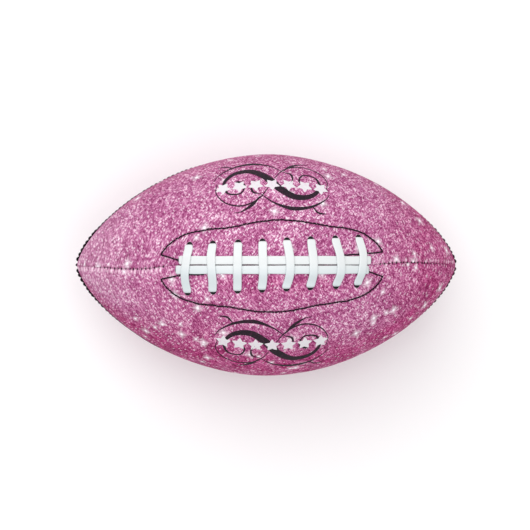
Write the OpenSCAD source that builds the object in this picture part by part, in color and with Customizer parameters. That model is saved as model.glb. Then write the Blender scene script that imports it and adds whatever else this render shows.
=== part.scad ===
// American football: four sewn cover panels with fabric linings, one continuous lace over a
// padded slit, stitched lace reinforcements, seam threads, a bladder and its inflation valve.
// Millimetres. Origin at the ball's centre, +X along the long axis, +Z out through the laces.
// An angle round the ball is measured from +Z (the lace seam, 0) towards +Y (the left seam, 90).

/* [Ball] */
// Length of the ball from nose to nose
ball_len = 285; // [281:0.5:288]
// Radius at the waist, measured at a seam
waist_r = 82.7; // [81.5:0.1:84]
// How much fuller the middle of a panel is than its seams, as a share of the radius
fullness = 0.028; // [0.02:0.002:0.034]
// Roundness of the long profile: more is boxier
profile_round = 1.9; // [1.8:0.02:2]
// Point of the noses: more is sharper
profile_point = 0.7; // [0.66:0.01:0.72]

/* [Layers] */
// Thickness of the composite cover
cover_t = 2; // [1.8:0.1:2]
// Thickness of the fabric lining
lining_t = 0.9; // [0.7:0.1:0.9]
// Depth of the turned-in seam edges, from the surface
seam_turn = 4; // [3.6:0.1:4]
// Thickness of the lace reinforcements
patch_t = 0.7; // [0.5:0.1:0.7]
// Thickness of the bladder's wall
bladder_t = 0.9; // [0.7:0.1:1.1]

/* [Lacing] */
// Number of cross laces
lace_count = 8; // [4:1:8]
// Distance between cross laces
lace_pitch = 17.3; // [16.8:0.1:17.5]
// Width of the flat lace
lace_w = 6.1; // [5.8:0.1:6.2]
// Thickness of the flat lace
lace_t = 1.5; // [1.3:0.1:1.5]
// Radius of a lace hole
lace_hole_r = 2.2; // [2.15:0.05:2.4]
// Distance of the hole rows from the slit, along the surface
hole_row = 17.1; // [16.8:0.1:17.6]
// How far the hole rows lean across the slit, per unit of length
row_lean = 0.045; // [0:0.005:0.05]

/* [Reinforcement] */
// Half the length of the stitched outline on each side of the slit
wing_half_len = 80.2; // [79:0.1:82]
// Distance of the outline from the slit at its fullest
wing_reach = 33; // [32:0.1:34]
// How far the outlines lean across the slit, per unit of length
wing_lean = 0.02; // [0:0.005:0.03]
// Diameter of the sewing thread
thread_d = 0.8; // [0.6:0.05:0.8]

/* [Valve] */
// Radius of the needle channel
needle_r = 1.05; // [1:0.05:1.2]
// Radius of the valve's neck
neck_r = 3; // [2.8:0.1:3]

/* [Hidden] */

half_len = ball_len / 2;
mm_to_deg = 180 / PI;

// Stations along the ball are angles: x is half the length times the station's sine.
nose_station = 86.6;        // the last ring of a panel, where four panels leave a pinhole
panel_rings = 32;
panel_steps = 8;            // facets across a panel
stations = [for (i = [0:panel_rings]) -nose_station + 2 * nose_station * i / panel_rings];

lining_gap = 0.05;          // between the cover and its lining
lining_edge = 1.9;          // the lining stops this many degrees from the seam, clear of the turned edge
lining_d = cover_t + lining_gap;
patch_d = lining_d + lining_t + 0.6;   // clear of the lining's flat facets
under_run_d = 5.4;          // depth of the lace's centre where it runs inside the ball
under_lace_t = 1.3;         // the lace is pressed thinner there
tongue_d = [6.55, 8];      // outer and inner depth of the tongue
tongue_half_len = 77;
tongue_half_w = 26;

half_row_len = lace_pitch * (lace_count - 1) / 2;
rail_hole_x = half_row_len + 9;        // where the rails go down at the ends of the slit
rail_q = lace_w / 2 + 0.25;           // each rail's centre, off the slit
rail_h = lace_t / 2 + 0.2;
bar_h = rail_h + lace_t + 0.12;       // a cross lace's centre over the rails
flat_h = lace_t / 2 + 0.15;           // and beside them, lying on the cover
// Sideways bow of each cross lace where it passes over the rails
bar_bow = [-1.7, -0.2, 0, 0.8, 3, 2.4, 3.8, 2.8];

valve_angle = 135;          // round the ball: the middle of the lower left panel
valve_mouth_d = 0.4;        // the neck ends this far under the surface
core_mouth_d = 1.4;
valve_hole_r = neck_r + 0.15;
core_r = 2.1;
core_gap = 0.05;
valve_flange_r = 10;
valve_flange_d = [6.2, 7.4];
valve_stem_r = 4.6;
valve_stem_end_d = 17;
valve_floor = 1.5;          // the stem's end wall, with a vent hole into the bladder
vent_r = 0.6;
needle_depth = 7;

// ---- the ball's surface ----

// Radius at a station, as a share of the waist's
function share(w) = pow(1 - pow(abs(sin(w)), profile_round), profile_point);

// How full the section is at an angle: an arc from seam to seam, 1 at a seam
function full_at(a, k) =
    let (b = ((a % 90) + 90) % 90 - 45,
         e = ((1 + k) * (1 + k) - 1) / (2 * (1 + k) - sqrt(2)),
         rho = 1 + k - e)
    e * cos(b) + sqrt(rho * rho - e * e * sin(b) * sin(b));

// A point at station w and angle a, at depth d under the surface
function skin(w, a, d, k = fullness) =
    let (r = (waist_r - d) * share(w) * full_at(a, k))
    [(half_len - d) * sin(w), r * sin(a), r * cos(a)];

// A point at length x and arc distance q from the slit, at height h over the surface
function station_of(x) = asin(x / half_len);
function angle_of(x, q) = q / (waist_r * share(station_of(x))) * mm_to_deg;
function on_ball(x, q, h) = skin(station_of(x), angle_of(x, q), -h);

function unit(v) = v / norm(v);
function smooth(t) = let (c = min(1, max(0, t))) c * c * (3 - 2 * c);

// ---- lofts ----

// A solid between two grids of points, grid[ring][step], with closed edges
module layer(outer, inner) {
    n = len(outer);
    m = len(outer[0]);
    function at(side, i, j) = side * n * m + i * m + j;
    points = [for (grid = [outer, inner]) for (ring = grid) each ring];
    faces = concat(
        [for (i = [0:n - 2]) for (j = [0:m - 2])
            [at(0, i, j), at(0, i, j + 1), at(0, i + 1, j + 1), at(0, i + 1, j)]],
        [for (i = [0:n - 2]) for (j = [0:m - 2])
            [at(1, i, j), at(1, i + 1, j), at(1, i + 1, j + 1), at(1, i, j + 1)]],
        [for (i = [0:n - 2]) for (end = [[0, 0], [m - 1, 1]])
            end[1] == 0
                ? [at(0, i, end[0]), at(0, i + 1, end[0]), at(1, i + 1, end[0]), at(1, i, end[0])]
                : [at(0, i, end[0]), at(1, i, end[0]), at(1, i + 1, end[0]), at(0, i + 1, end[0])]],
        [for (j = [0:m - 2]) [at(0, 0, j), at(1, 0, j), at(1, 0, j + 1), at(0, 0, j + 1)]],
        [for (j = [0:m - 2])
            [at(0, n - 1, j), at(0, n - 1, j + 1), at(1, n - 1, j + 1), at(1, n - 1, j)]]
    );
    polyhedron(points = points, faces = faces, convexity = 6);
}

// A solid through closed rings of points, with flat ends, or joined end to end if it is a loop
module rings_solid(rings, loop = false) {
    n = len(rings);
    m = len(rings[0]);
    sides = [for (i = [0:n - (loop ? 1 : 2)]) for (j = [0:m - 1])
        [i * m + j, i * m + (j + 1) % m, ((i + 1) % n) * m + (j + 1) % m, ((i + 1) % n) * m + j]];
    ends = loop ? [] : [[for (j = [m - 1:-1:0]) j], [for (j = [0:m - 1]) (n - 1) * m + j]];
    polyhedron(points = [for (ring = rings) each ring], faces = concat(sides, ends), convexity = 6);
}

function along(path, i, loop) =
    let (n = len(path),
         before = loop ? (i + n - 1) % n : max(0, i - 1),
         after = loop ? (i + 1) % n : min(n - 1, i + 1))
    unit(path[after] - path[before]);

// A round thread along a path; up[i] is a direction that is never along it
module thread(path, up, sides = 5, loop = false) {
    rings_solid([for (i = [0:len(path) - 1])
        let (t = along(path, i, loop), u = unit(cross(up[i], t)), v = cross(u, t))
        [for (k = [0:sides - 1])
            path[i] + thread_d / 2 * (cos(360 * k / sides) * u + sin(360 * k / sides) * v)]], loop);
}

// ---- cover panels and linings ----

// The panel's section from seam to seam, as [outer angle, outer depth, inner angle, inner depth]:
// a turned-in edge, a rounded shoulder, the crown, then the same the other way
panel_edge = [
    [0.06, seam_turn, 1.2, seam_turn],
    [0.12, 1.3, 1.35, cover_t + 0.2],
    [0.45, 0.5, 1.7, cover_t],
    [1.0, 0.12, 2.2, cover_t],
    [1.8, 0, 2.9, cover_t]
];
panel_crown = [for (j = [1:panel_steps - 1])
    let (a = 90 * j / panel_steps) [a, 0, a, cover_t]];
panel_section = concat(
    panel_edge,
    panel_crown,
    [for (j = [len(panel_edge) - 1:-1:0])
        let (p = panel_edge[j]) [90 - p[0], p[1], 90 - p[2], p[3]]]
);

module cover_panel(start) {
    layer(
        [for (w = stations) [for (p = panel_section) skin(w, start + p[0], p[1])]],
        [for (w = stations) [for (p = panel_section) skin(w, start + p[2], p[3])]]
    );
}

module panel_lining(start) {
    steps = concat([lining_edge], [for (j = [1:panel_steps - 1]) 90 * j / panel_steps],
                   [90 - lining_edge]);
    layer(
        [for (w = stations) [for (a = steps) skin(w, start + a, lining_d)]],
        [for (w = stations) [for (a = steps) skin(w, start + a, lining_d + lining_t)]]
    );
}

// A round hole along the way down from a point on the surface
module drill(x, q, r, from = -2, to = 9) {
    top = on_ball(x, q, -from);
    way = on_ball(x, q, -to) - top;
    translate(top)
        rotate([0, acos(way.z / norm(way)), atan2(way.y, way.x)])
            cylinder(r = r, h = norm(way), $fn = 32);
}

function bar_x(i) = -half_row_len + lace_pitch * i;
function hole_q(x, side) = hole_row + side * row_lean * x;

// side is 1 for the left of the slit (+Y) and -1 for the right
module lace_holes(side) {
    for (i = [0:lace_count - 1])
        drill(bar_x(i), side * hole_q(bar_x(i), side), lace_hole_r);
    for (x = [-rail_hole_x, rail_hole_x])
        drill(x, side * rail_q, lace_hole_r);
}

module on_valve_axis(d) {
    rotate([-valve_angle, 0, 0])
        translate([0, 0, waist_r * (1 + fullness) - d])
            children();
}

module valve_hole() {
    on_valve_axis(9) cylinder(r = valve_hole_r, h = 12, $fn = 48);
}

module upper_left_panel() {
    color("hotpink") difference() {
        cover_panel(0);
        lace_holes(1);
    }
}

module upper_right_panel() {
    color("palevioletred") difference() {
        cover_panel(-90);
        lace_holes(-1);
    }
}

module lower_left_panel() {
    color("palevioletred") difference() {
        cover_panel(90);
        valve_hole();
    }
}

module lower_right_panel() {
    color("hotpink") cover_panel(180);
}

module upper_left_lining() {
    color("ivory") difference() {
        panel_lining(0);
        lace_holes(1);
    }
}

module upper_right_lining() {
    color("ivory") difference() {
        panel_lining(-90);
        lace_holes(-1);
    }
}

module lower_left_lining() {
    color("ivory") difference() {
        panel_lining(90);
        valve_hole();
    }
}

module lower_right_lining() {
    color("ivory") panel_lining(180);
}

// ---- seam threads, in the valleys between panels ----

seam_end = 84;

// The valley narrows towards the noses, so the thread lies higher there
function valley_d(w) = min(0.4, 1.5 * share(w) - 0.42);

module seam_thread(a, from, to, n) {
    ws = [for (i = [0:n]) from + (to - from) * i / n];
    thread([for (w = ws) skin(w, a, valley_d(w))], [for (w = ws) [0, cos(a), -sin(a)]], 4);
}

module lace_seam_thread() {
    slit_station = station_of(rail_hole_x + 5);
    color("black") {
        seam_thread(0, slit_station, seam_end, 14);
        seam_thread(0, -seam_end, -slit_station, 14);
    }
}

module left_seam_thread() {
    color("black") seam_thread(90, -seam_end, seam_end, panel_rings);
}

module right_seam_thread() {
    color("black") seam_thread(270, -seam_end, seam_end, panel_rings);
}

module bottom_seam_thread() {
    color("black") seam_thread(180, -seam_end, seam_end, panel_rings);
}

// ---- lace reinforcements: a wing on each side of the slit ----

wing_shoulder = 8.8;        // the outline's distance from the slit at its ends
wing_bump = 5.2;            // the extra reach beside the middle laces
wing_bump_len = 27;
wing_inner = 6.9;           // the inner line of stitches runs just clear of the rails
wing_drift = 0.8;           // both outlines sit this much towards the right-hand side
wing_margin = 1.4;          // cloth outside the outer line
wing_edge = 2.2;            // the cloth's edge beside the slit

// Outer and inner line of the stitched outline at length x. The outer lines are sewn a little askew.
function wing_outer(x, side) =
    let (t = min(1, abs(x) / wing_half_len))
    wing_shoulder + (wing_reach - wing_shoulder - wing_bump) * pow(1 - pow(t, 5.5), 0.85)
    + wing_bump * exp(-pow(abs(x - 2 - 2 * side) / wing_bump_len, 2.6))
    + side * (wing_lean * x - wing_drift) * (1 - pow(t, 4));
function wing_line_inner(x) = wing_inner + (wing_shoulder - wing_inner) * pow(abs(x) / wing_half_len, 6);

module wing(side) {
    n = 26;
    m = 4;
    xs = [for (i = [0:n]) (wing_half_len + 0.3) * sin(-90 + 180 * i / n)];
    function q_at(x, j) =
        let (outer = wing_outer(x, side) + wing_margin, t = side > 0 ? j / m : 1 - j / m)
        side * (wing_edge + (outer - wing_edge) * t);
    layer(
        [for (x = xs) [for (j = [0:m]) on_ball(x, q_at(x, j), -patch_d)]],
        [for (x = xs) [for (j = [0:m]) on_ball(x, q_at(x, j), -patch_d - patch_t)]]
    );
}

module left_lace_reinforcement() {
    color("dimgray") difference() {
        wing(1);
        lace_holes(1);
    }
}

module right_lace_reinforcement() {
    color("dimgray") difference() {
        wing(-1);
        lace_holes(-1);
    }
}

// The thread lies on the cover along the wing's outline, and comes back a little beside the rails
module wing_thread(side) {
    n = 34;
    return_x = 54;
    outer = [for (i = [0:n]) let (x = wing_half_len * sin(90 - 180 * i / n)) [x, wing_outer(x, side)]];
    inner = [for (i = [0:4])
        let (x = return_x + (wing_half_len - 1.2 - return_x) * i / 4) [x, wing_line_inner(x)]];
    line = concat(inner, outer, [for (i = [4:-1:0]) [-inner[i].x, inner[i].y]]);
    path = [for (p = line) on_ball(p.x, side * p.y, thread_d / 2 + 0.02)];
    thread(path, [for (p = path) [0, p.y, p.z]], 5);
}

module left_reinforcement_thread() {
    color("black") wing_thread(1);
}

module right_reinforcement_thread() {
    color("black") wing_thread(-1);
}

// ---- the lace: one strap, up through a hole, over, down and across inside to the next ----

// A stop on the lace's way is [x, q, h, width, thickness, lie], where lie turns the strap's width
// from along the ball (0) to across it (90).
function flip(list) = [for (i = [len(list) - 1:-1:0]) list[i]];

in_hole = [3.5, 1.9];       // width and thickness of the lace squeezed in a hole
near_side = 0.5;            // a cross lace hugs the side of its hole next to the slit
far_side = 0.3;             // a rail's end goes past the middle of its hole

// From inside the ball up through a hole, over its edge and flat towards the slit, as
// [distance past the hole, h, width, thickness]
rise = [
    [0.2, 0.2 - under_run_d, 3.8, 1.4],
    [0, -4.4, in_hole[0], in_hole[1]],
    [0, -0.9, in_hole[0], in_hole[1]],
    [-0.4, 0.25, 4.6, 1.7],
    [-1.1, 0.8, 5.9, lace_t],
    [-2.2, flat_h, lace_w, lace_t]
];
// From flat on the cover up onto the rails, as [q, h]
climb = [[9.6, flat_h], [8.6, flat_h + 0.55], [7.4, bar_h - 0.2], [6.3, bar_h], [3.2, bar_h]];

// Where the lace's centre goes through a hole
function foot_q(x, side) = hole_q(x, side) - near_side;
function foot(i, side) = [bar_x(i), side * foot_q(bar_x(i), side)];

// Half a cross lace, from the hole on one side to over the slit
function half_bar(i, side) =
    let (x = bar_x(i), q = foot_q(x, side), flat_q = q - 2.2)
    concat(
        [for (p = rise) [x, side * (q + p[0]), p[1], p[2], p[3], 0]],
        [for (p = climb)
            [x + bar_bow[i] * (1 - pow(p[0] / flat_q, 2)), side * p[0], p[1], lace_w, lace_t, 0]]
    );

function bar(i) = concat(
    half_bar(i, -1),
    [[bar_x(i) + bar_bow[i], 0, bar_h, lace_w, lace_t, 0]],
    flip(half_bar(i, 1))
);

// Inside, from the left-hand hole of one cross lace to the right-hand hole of the next
function under_run(from, to) = [
    for (stop = [[0.08, 4.2], [0.25, 5.6], [0.5, 5.6], [0.75, 5.6], [0.92, 4.2]])
    let (p = from + (to - from) * stop[0])
    [p.x, p.y, -under_run_d, stop[1], under_lace_t, 0]];

// A rail: up through the hole at one end of the slit, along its side and down at the other
function rail_end(side, end) =
    [for (p = rise) [end * (rail_hole_x + far_side + p[0]), side * rail_q, p[1], p[2], p[3], 90]];
function rail(side, from) = concat(
    rail_end(side, from),
    [for (i = [-5:5]) [-from * (rail_hole_x - 6) * i / 5, side * rail_q, rail_h, lace_w, lace_t, 90]],
    flip(rail_end(side, -from))
);

tail_len = 12;
lace_stops = concat(
    [[rail_hole_x + tail_len, 5.4, -under_run_d, 5.4, under_lace_t, 90],
     [rail_hole_x + 3, 4.4, -under_run_d, 4.6, under_lace_t, 90]],
    rail(1, 1),
    [for (q = [1.6, -1.6]) [-rail_hole_x, q, -under_run_d, 4, under_lace_t, 0]],
    rail(-1, -1),
    under_run([rail_hole_x, -rail_q], foot(lace_count - 1, -1)),
    [for (i = [lace_count - 1:-1:0]) each concat(
        bar(i), i > 0 ? under_run(foot(i, 1), foot(i - 1, -1)) : [])],
    [[bar_x(0), foot(0, 1).y - 3, -under_run_d, 4.6, under_lace_t, 0],
     [bar_x(0) - 1, foot(0, 1).y - tail_len, -under_run_d, 5.4, under_lace_t, 0]]
);

module lace() {
    function place(s) = on_ball(s[0], s[1], s[2]);
    path = [for (s = lace_stops) place(s)];
    function lie_dir(s) =
        cos(s[5]) * unit(on_ball(s[0] + 1, s[1], s[2]) - on_ball(s[0] - 1, s[1], s[2]))
        + sin(s[5]) * unit(on_ball(s[0], s[1] + 1, s[2]) - on_ball(s[0], s[1] - 1, s[2]));
    function section(w, t) =
        let (c = min(0.4, t / 3), x = w / 2, y = t / 2)
        [[x, y - c], [x - c, y], [c - x, y], [-x, y - c], [-x, c - y], [c - x, -y], [x - c, -y], [x, c - y]];
    rings = [for (i = [0:len(path) - 1])
        let (s = lace_stops[i], t = along(path, i, false), lie = lie_dir(s),
             u = unit(lie - (lie * t) * t), v = cross(u, t))
        [for (p = section(s[3], s[4])) path[i] + p.x * u + p.y * v]];
    color("white") rings_solid(rings);
}

// ---- inside: tongue, bladder and valve ----

module lace_tongue() {
    n = 16;
    m = 6;
    xs = [for (i = [0:n]) tongue_half_len * sin(-90 + 180 * i / n)];
    function q_at(x, j) = tongue_half_w * (0.35 + 0.65 * sqrt(max(0, 1 - pow(abs(x) / tongue_half_len, 4))))
        * (2 * j / m - 1);
    color("gray") layer(
        [for (x = xs) [for (j = [0:m]) on_ball(x, q_at(x, j), -tongue_d[0])]],
        [for (x = xs) [for (j = [0:m]) on_ball(x, q_at(x, j), -tongue_d[1])]]
    );
}

bladder_steps = 28;
bladder_rings = 24;
bladder_fullness = 0.05;    // more than the cover's: it bulges between the turned seam edges
bladder_d = 5.2;            // depth at a seam
bladder_dent = 4.4;         // pushed in by this much under the tongue

module bladder_body(d) {
    ws = [for (i = [0:bladder_rings]) -88 + 176 * i / bladder_rings];
    rings_solid([for (w = ws) [for (j = [0:bladder_steps - 1])
        let (a = 360 * j / bladder_steps,
             from_laces = min(a, 360 - a),
             x = half_len * sin(w),
             dent = bladder_dent * smooth((40 - from_laces) / 16) * smooth((112 - abs(x)) / 24))
        skin(w, a, d + dent, bladder_fullness)]]);
}

module bladder() {
    color("black") difference() {
        bladder_body(bladder_d);
        bladder_body(bladder_d + bladder_t);
        valve_hole();
    }
}

// The housing is moulded rubber: a neck through the bladder, lining and cover, a flange bonded
// inside the bladder, and a stem that holds the core
module valve_housing() {
    function up(d) = valve_stem_end_d - d;
    profile = [
        [vent_r, 0], [valve_stem_r, 0], [valve_stem_r, up(valve_flange_d[1])],
        [valve_flange_r, up(valve_flange_d[1])], [valve_flange_r, up(valve_flange_d[0])],
        [neck_r, up(valve_flange_d[0])], [neck_r, up(valve_mouth_d)],
        [core_r + core_gap, up(valve_mouth_d)], [core_r + core_gap, valve_floor], [vent_r, valve_floor]
    ];
    color("dimgray") on_valve_axis(valve_stem_end_d)
        rotate_extrude($fn = 64) polygon(profile);
}

// The core is a push-in rubber plug: a needle channel, closed below by a slit that seals itself
module valve_core() {
    core_len = valve_stem_end_d - valve_floor - core_mouth_d;
    slit = [1.6, 0.12, core_len];
    color("saddlebrown") on_valve_axis(core_mouth_d + core_len) difference() {
        cylinder(r = core_r, h = core_len, $fn = 64);
        translate([0, 0, core_len - needle_depth]) cylinder(r = needle_r, h = needle_depth + 1, $fn = 48);
        translate([-slit.x / 2, -slit.y / 2, 1 - needle_depth]) cube(slit);
    }
}

upper_left_panel();
upper_right_panel();
lower_left_panel();
lower_right_panel();
upper_left_lining();
upper_right_lining();
lower_left_lining();
lower_right_lining();
lace_seam_thread();
left_seam_thread();
right_seam_thread();
bottom_seam_thread();
left_lace_reinforcement();
right_lace_reinforcement();
left_reinforcement_thread();
right_reinforcement_thread();
lace();
lace_tongue();
bladder();
valve_housing();
valve_core();
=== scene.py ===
"""A laced American football with a pink glitter-print cover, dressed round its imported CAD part.

Everything is in the CAD frame: origin at the ball's centre, +X along the long axis, +Z out through
the laces, +Y towards the left seam. Sizes are written in millimetres, and a mesh is turned into
metres as it is made. An angle round the ball runs from +Z (0) towards +Y (a quarter turn).
On the ball, x is the place along the axis, q the distance round from the lace seam, positive
towards +Y, and h the height over the plain surface.
"""

import math
import random

import bpy
import numpy as np
from mathutils import Matrix, Vector


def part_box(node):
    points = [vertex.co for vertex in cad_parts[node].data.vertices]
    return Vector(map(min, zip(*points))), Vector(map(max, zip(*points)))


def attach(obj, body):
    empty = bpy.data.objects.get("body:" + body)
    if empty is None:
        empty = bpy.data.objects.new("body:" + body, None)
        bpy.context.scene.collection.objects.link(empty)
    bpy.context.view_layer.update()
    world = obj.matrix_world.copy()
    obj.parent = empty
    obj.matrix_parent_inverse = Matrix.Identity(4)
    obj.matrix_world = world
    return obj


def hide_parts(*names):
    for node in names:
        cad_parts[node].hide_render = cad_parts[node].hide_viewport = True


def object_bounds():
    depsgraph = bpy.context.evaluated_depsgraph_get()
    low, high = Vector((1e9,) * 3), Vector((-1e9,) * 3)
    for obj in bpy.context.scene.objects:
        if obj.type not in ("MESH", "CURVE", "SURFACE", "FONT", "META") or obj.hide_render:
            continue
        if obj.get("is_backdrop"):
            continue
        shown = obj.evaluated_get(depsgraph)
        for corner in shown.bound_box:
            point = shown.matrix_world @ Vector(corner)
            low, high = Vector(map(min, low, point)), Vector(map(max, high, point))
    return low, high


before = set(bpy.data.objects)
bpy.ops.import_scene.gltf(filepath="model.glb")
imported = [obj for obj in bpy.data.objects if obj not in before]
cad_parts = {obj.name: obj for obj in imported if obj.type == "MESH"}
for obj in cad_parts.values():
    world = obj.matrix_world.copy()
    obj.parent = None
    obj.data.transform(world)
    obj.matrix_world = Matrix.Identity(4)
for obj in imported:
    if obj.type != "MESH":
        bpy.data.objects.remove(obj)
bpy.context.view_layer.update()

MM = 0.001
QUARTER = math.pi / 2


# ---- dimensions: the ball's from the frame, the rest as in the part ----

NOSE_STATION = math.radians(86.6)
HALF_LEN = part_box("upper_left_panel")[1].x / math.sin(NOSE_STATION) / MM
WAIST_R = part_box("left_seam_thread")[1].y / MM
FULLNESS = 0.028
PROFILE_ROUND = 1.9
PROFILE_POINT = 0.7
COVER_T = 2.0

LACE_COUNT = 8
LACE_PITCH = 17.3
LACE_W = 6.1
LACE_T = 1.5
HOLE_R = 2.2
HOLE_ROW = 17.1
ROW_LEAN = 0.045
ROW_DRIFT = 0.4           # the punched rows sit a little towards the right-hand nose
HALF_ROW_LEN = LACE_PITCH * (LACE_COUNT - 1) / 2
RAIL_HOLE_X = HALF_ROW_LEN + 9
RAIL_Q = LACE_W / 2 + 0.35
SLIT_END = 66.0           # where the seam starts to be drawn shut past the slit

WING_HALF_LEN = 80.2
WING_REACH = 33.0
WING_SHOULDER = 8.8
WING_BUMP = 5.2
WING_BUMP_LEN = 27.0
WING_DRIFT = 0.8
WING_LEAN = 0.02
WING_TIP_LEAN = 0.012
WING_TIP_DRIFT = 0.5

SEAM_PITCH = 3.6          # between the stitches of a seam
SEAM_WANDER = 0.16        # how uneven that is, as a share of it
WING_PITCH = 3.0          # between the stitches of a wing
WING_GAP = 0.42           # and between their ends
THREAD_R = 0.42
WING_THREAD_R = THREAD_R * 1.32

VALVE_ANGLE = math.radians(135)
VALVE_HOLE_R = 3.15


# ---- the ball's surface ----

BULGE = ((1 + FULLNESS) ** 2 - 1) / (2 * (1 + FULLNESS) - math.sqrt(2))
BOW = 1 + FULLNESS - BULGE


def share(w):
    """Radius at a station, as a share of the waist's."""
    return np.maximum(1 - np.abs(np.sin(w)) ** PROFILE_ROUND, 1e-12) ** PROFILE_POINT


def full_at(a):
    """How full the section is at an angle: 1 at a seam, most in the middle of a panel."""
    b = np.mod(a, QUARTER) - QUARTER / 2
    return BULGE * np.cos(b) + np.sqrt(BOW ** 2 - (BULGE * np.sin(b)) ** 2)


def skin(w, a, h=0.0):
    """Points, in mm, at stations w and angles a, at height h."""
    w, a, h = np.broadcast_arrays(w, a, h)
    r = (WAIST_R + h) * share(w) * full_at(a)
    return np.stack([(HALF_LEN + h) * np.sin(w), r * np.sin(a), r * np.cos(a)], -1)


def station_of(x):
    return np.arcsin(np.clip(x / HALF_LEN, -1, 1))


def x_at(w):
    return HALF_LEN * np.sin(w)


def on_ball(x, q, h=0.0):
    w = station_of(x)
    return skin(w, q / (WAIST_R * share(w)), h)


def smooth(t):
    t = np.clip(t, 0, 1)
    return t * t * (3 - 2 * t)


def bell(d, reach):
    """1 at d = 0, falling away smoothly over the reach."""
    return np.exp(-(d / reach) ** 2)


def circle(count):
    return np.linspace(0, 2 * math.pi, count, endpoint=False)


def distances(points, power=1):
    """How far along a line each of its points is."""
    gaps = np.linalg.norm(np.diff(points, axis=0), axis=1) ** power
    return np.concatenate([[0], np.cumsum(gaps)])


# Stations against the distance along the ball from its waist
LAST_STATION = math.radians(89.5)
STATIONS = np.linspace(-LAST_STATION, LAST_STATION, 6001)
ARCS = distances(skin(STATIONS, QUARTER / 2))
HALF_ARC = ARCS[-1] / 2
ARCS -= HALF_ARC


def station_at(arc):
    return np.interp(arc, ARCS, STATIONS)


def arc_of(w):
    return np.interp(w, STATIONS, ARCS)


def wave(t, seed):
    """A smooth seeded wander of about -1 to 1 along t, one swing for each unit or so."""
    rng = np.random.default_rng(seed)
    total = 0
    for _ in range(4):
        swing = t * rng.uniform(0.6, 1.9) * 2 * math.pi
        total = total + np.sin(swing + rng.uniform(0, 2 * math.pi))
    return total / 2.8


# ---- meshes: a shape is (points in mm, faces) ----

def placed(name, data):
    """An object of the scene."""
    obj = bpy.data.objects.new(name, data)
    bpy.context.scene.collection.objects.link(obj)
    return obj


def piece(name, shape, materials, slot, *nodes):
    """A smooth mesh of a shape, riding on the ball."""
    points, faces = shape
    mesh = bpy.data.meshes.new(name)
    mesh.from_pydata((points * MM).tolist(), [], faces)
    for material in materials:
        mesh.materials.append(material)
    mesh.polygons.foreach_set("use_smooth", np.ones(len(mesh.polygons), bool))
    mesh.validate()
    mesh.update()
    obj = placed(name, mesh)
    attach(obj, "root")
    if nodes:
        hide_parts(*nodes)
    return mesh


def ring_faces(rings, size, skip=()):
    """Quads between closed rings of points, numbered ring by ring, and a cap at each end."""
    faces = []
    for i in range(rings - 1):
        for j in range(size):
            if (i, j) not in skip:
                here, k = i * size, (j + 1) % size
                faces.append([here + j, here + k, here + size + k, here + size + j])
    return faces + [list(range(size))[::-1], list(range((rings - 1) * size, rings * size))]


def solid(rings):
    return np.concatenate(rings), ring_faces(len(rings), len(rings[0]))


def unit(v):
    return v / np.maximum(np.linalg.norm(v, axis=-1, keepdims=True), 1e-12)


def sweep(path, along, side, section):
    """A solid along a path. section(i) gives ring i's outline as (across, outward)."""
    out = np.cross(along, side)
    rings = []
    for i, at in enumerate(path):
        outline = section(i)
        rings.append(at + outline[:, :1] * side[i] + outline[:, 1:] * out[i])
    return solid(rings)


def between(a, b, slope_a, slope_b, t):
    """The smooth curve from a to b, with its slopes at both, at t from 0 to 1."""
    return ((2 * t**3 - 3 * t**2 + 1) * a + (t**3 - 2 * t**2 + t) * slope_a
            + (3 * t**2 - 2 * t**3) * b + (t**3 - t**2) * slope_b)


def join(shapes):
    """Several shapes as one."""
    points, faces, first = [], [], 0
    for p, f in shapes:
        points.append(p)
        faces.extend([[v + first for v in face] for face in f])
        first += len(p)
    return np.concatenate(points), faces


# ---- materials ----

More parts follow.
